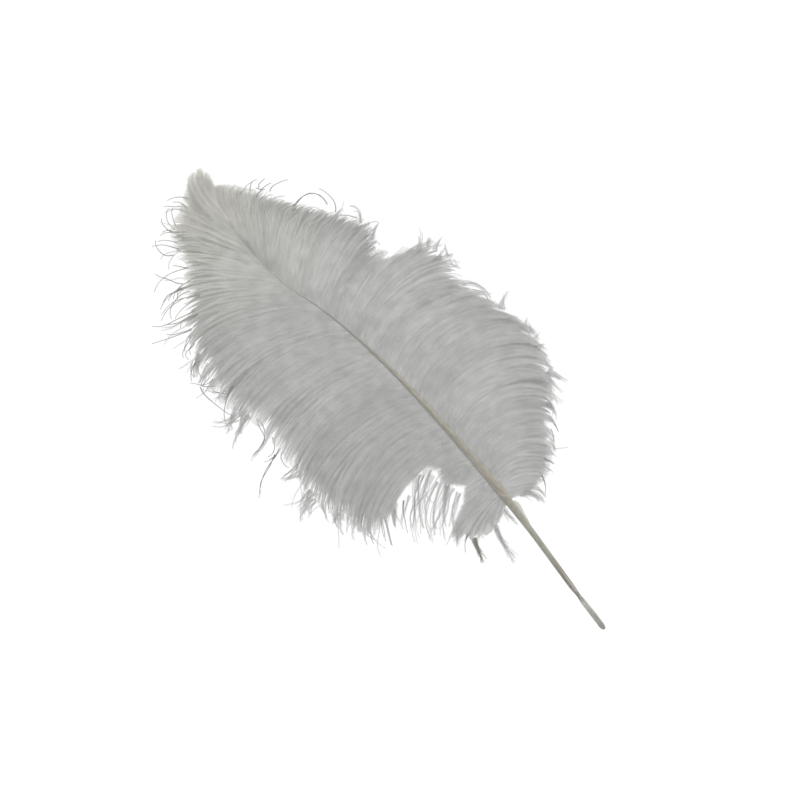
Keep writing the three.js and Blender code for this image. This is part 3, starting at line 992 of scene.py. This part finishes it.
def stemMesh(strands, rowOf, rowCount):
    # each barb's own stem, a thin three-sided rod that tapers
    paths = strands["paths"]
    count, stations, _ = paths.shape
    share = np.linspace(0, 1, stations)[None, :]
    along, across = directions(paths)
    up = np.cross(across, along)
    root, tip = strands["thick"][:, :1], strands["thick"][:, 1:]
    radius = (root + (tip - root) * share)[:, :, None] / 2
    angles = np.radians([90, 210, 330])
    corners = np.stack([paths + radius * (math.cos(a) * across + math.sin(a) * up) for a in angles], 2)
    base = (np.arange(count) * stations * 3)[:, None, None] + np.arange(stations - 1)[None, :, None] * 3
    corner = np.arange(3)[None, None, :]
    a = base + corner
    b = base + (corner + 1) % 3
    triangles = np.stack([np.stack([a, b, b + 3], -1), np.stack([a, b + 3, a + 3], -1)], -2)
    v = (rowOf[:, None, None] + 0.5 + np.array([-0.15, 0, 0.15])) / rowCount
    v = np.broadcast_to(v, corners.shape[:3])
    u = np.broadcast_to(share[:, :, None], corners.shape[:3])
    uv = np.stack([u, v], -1).reshape(-1, 2)
    # stems painted darker: partly painted shade against their highlights, partly their own faint darker
    # lines
    tint = barb["stemTone"] * strands["tint"][:, None] * faded(strands["fade"][:, None], share)
    tint = tint * dashed(strands["dashes"][:, None], share)
    return corners.reshape(-1, 3), triangles.reshape(-1, 3), uv, np.repeat(tint.reshape(-1, 3), 3, axis=0)


def barbuleMesh(strands, rowOf, rowCount):
    # hair-thin side branches, each a narrow triangle that leans towards the barb's tip
    paths = strands["paths"]
    count, stations, _ = paths.shape
    along, across = directions(paths)
    steps = np.linalg.norm(np.diff(paths, axis=1), axis=2)
    steps *= (strands["density"][:, 1:] + strands["density"][:, :-1]) / 2
    upTo = np.concatenate([[0], np.cumsum(steps.ravel())])
    total = int(upTo[-1])
    place = np.arange(total) + random.random(total)
    index = np.clip(np.searchsorted(upTo, place) - 1, 0, steps.size - 1)
    part = ((place - upTo[index]) / (upTo[index + 1] - upTo[index] + 1e-9))[:, None]
    owner, i = index // (stations - 1), index % (stations - 1)

    def at(field):
        near, far = field[owner, i], field[owner, i + 1]
        weight = part if field.ndim == 3 else part[:, 0]
        return near * (1 - weight) + far * weight

    foot, forward, sideways = at(paths), at(along), at(across)
    up = np.cross(sideways, forward)
    share = (i + part[:, 0]) / (stations - 1)
    hand = 1.0 - 2 * (np.arange(total) % 2)
    lean = np.radians(at(strands["lean"]) + random.normal(0, barb["barbuleSpread"][0], total))
    roll = np.radians(hand * strands["roll"][owner] + random.normal(0, barb["barbuleSpread"][1], total))
    out = hand[:, None] * np.cos(roll)[:, None] * sideways + np.sin(roll)[:, None] * up
    towards = np.cos(lean)[:, None] * forward + np.sin(lean)[:, None] * out
    tip = foot + towards * (at(strands["fluff"]) * random.uniform(*barb["barbuleLengths"], total))[:, None]
    tip[:, 2] = np.maximum(tip[:, 2], 0.05)
    half = forward * (barb["barbuleWidth"] / 2)
    points = np.stack([foot - half, foot + half, tip], 1).reshape(-1, 3)
    triangles = np.arange(3 * total).reshape(-1, 3)
    u = np.stack([share - 0.002, share + 0.002, share + 0.01], 1)
    v = np.stack([0 * hand, 0 * hand, 0.4 * hand], 1) + rowOf[owner][:, None] + 0.5
    uv = np.stack([np.clip(u, 0, 1), v / rowCount], -1).reshape(-1, 2)
    tint = strands["tint"][owner] * random.normal(1, barb["barbuleTint"], total)[:, None]
    tint = tint * faded(strands["fade"][owner], share) * dashed(strands["dashes"][owner], share)
    return points, triangles, uv, np.repeat(tint, 3, axis=0)


def webMesh(strips, rowOf, rowCount):
    # two triangles between stations, with painted shade darker towards the edge
    first, second = strips["first"], strips["second"]
    count, stations, _ = first.shape
    points = np.stack([first, second], 2)
    a = (np.arange(count)[:, None] * stations + np.arange(stations - 1)[None, :]) * 2
    triangles = np.stack([np.stack([a, a + 2, a + 1], -1), np.stack([a + 1, a + 2, a + 3], -1)], -2)
    u = np.broadcast_to(np.linspace(0, 1, stations)[None, :, None], points.shape[:3])
    v = np.broadcast_to((rowOf[:, None, None] + np.array([0.1, 0.9])) / rowCount, points.shape[:3])
    uv = np.stack([u, v], -1).reshape(-1, 2)
    shadeInGaps = 1 - strips["gapShade"][:, None] * ease(np.linspace(0, 1, stations), *web["darkens"])
    tint = np.repeat((strips["tint"][:, None] * shadeInGaps[:, :, None]).reshape(-1, 3), 2, axis=0)
    return points.reshape(-1, 3), triangles.reshape(-1, 3), uv, tint


def pick(group, mine):
    # only some of a group's strands
    return {key: values[mine] for key, values in group.items()}


def makeBarbPiece(name, nodes, groups, strips=None):
    # one mesh, with a row of its own in the UV square for each barb
    rowCount = sum(len(group["paths"]) for group in groups) + (len(strips["first"]) if strips else 0)
    parts = []
    row = 0
    for group in groups:
        rowOf = row + np.arange(len(group["paths"]))
        parts.append(stemMesh(group, rowOf, rowCount))
        parts.append(barbuleMesh(group, rowOf, rowCount))
        row += len(rowOf)
    if strips:
        parts.append(webMesh(strips, row + np.arange(len(strips["first"])), rowCount))
    offsets = np.cumsum([0] + [len(part[0]) for part in parts])
    points = np.concatenate([part[0] for part in parts])
    triangles = np.concatenate([part[1] + offset for part, offset in zip(parts, offsets)])
    uv = np.concatenate([part[2] for part in parts])
    piece = meshFrom(name, points, triangles, uv)
    addAttribute(piece, "tint", "FLOAT_VECTOR", "vector", np.concatenate([part[3] for part in parts]))
    piece.data.materials.append(whiteDown)
    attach(piece, "root")
    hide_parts(*nodes)
    print("plume:", name, rowCount, "strands,", len(triangles), "triangles")


def makeVane(vane, node):
    # in three lengths along the shaft, so that no mesh gets too heavy
    barbs, strips, whiskers = layBarbs(vane)
    starts = [start for _, start in vane["pieces"]] + [1000]
    for (name, start), end in zip(vane["pieces"], starts[1:]):
        groups = [pick(g, (g["rootX"] >= start) & (g["rootX"] < end)) for g in (barbs, whiskers, strips)]
        makeBarbPiece(name, [node], groups[:2], groups[2])


makeVane(leftVane, "vane_left")
makeVane(rightVane, "vane_right")
loose = layStrays(strays)
dirty = layStrays([darkTuft])
dirty["tint"] = dirty["tint"] * np.array(dirt)
makeBarbPiece("stray_barbs", ["vane_left", "vane_right"], [loose, dirty])
print("plume: vanes made")
